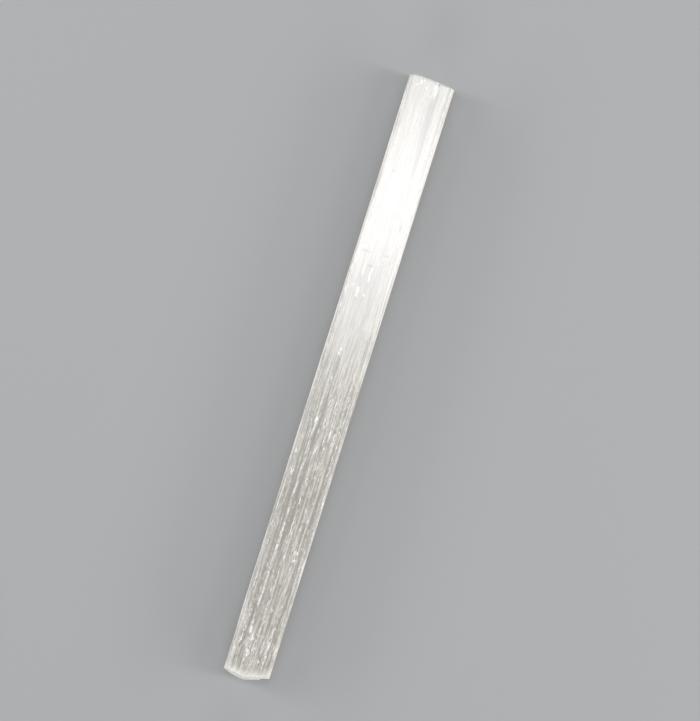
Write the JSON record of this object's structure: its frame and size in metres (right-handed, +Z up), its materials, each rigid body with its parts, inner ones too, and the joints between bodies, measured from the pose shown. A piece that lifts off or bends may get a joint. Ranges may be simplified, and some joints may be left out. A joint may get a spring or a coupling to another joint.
{
  "type": "selenite wand",
  "caption": "Straight bar-shaped stick of white fibrous satin spar with worn bevelled edges, one domed end and one sawn end, lying on its flat underside.",
  "frame": {"origin": "centre of the flat underside that the stick lies on", "axes": "+X along the fibres towards the sawn end, +Y to the left across the stick, +Z up out of its top face"},
  "size_m": [0.2, 0.0152, 0.012],
  "materials": {
    "satin_spar": "translucent white fibrous gypsum with a silky sheen across its lengthwise fibres"
  },
  "bodies": {
    "root": {"selenite_wand": "satin_spar"}
  },
  "joints": []
}
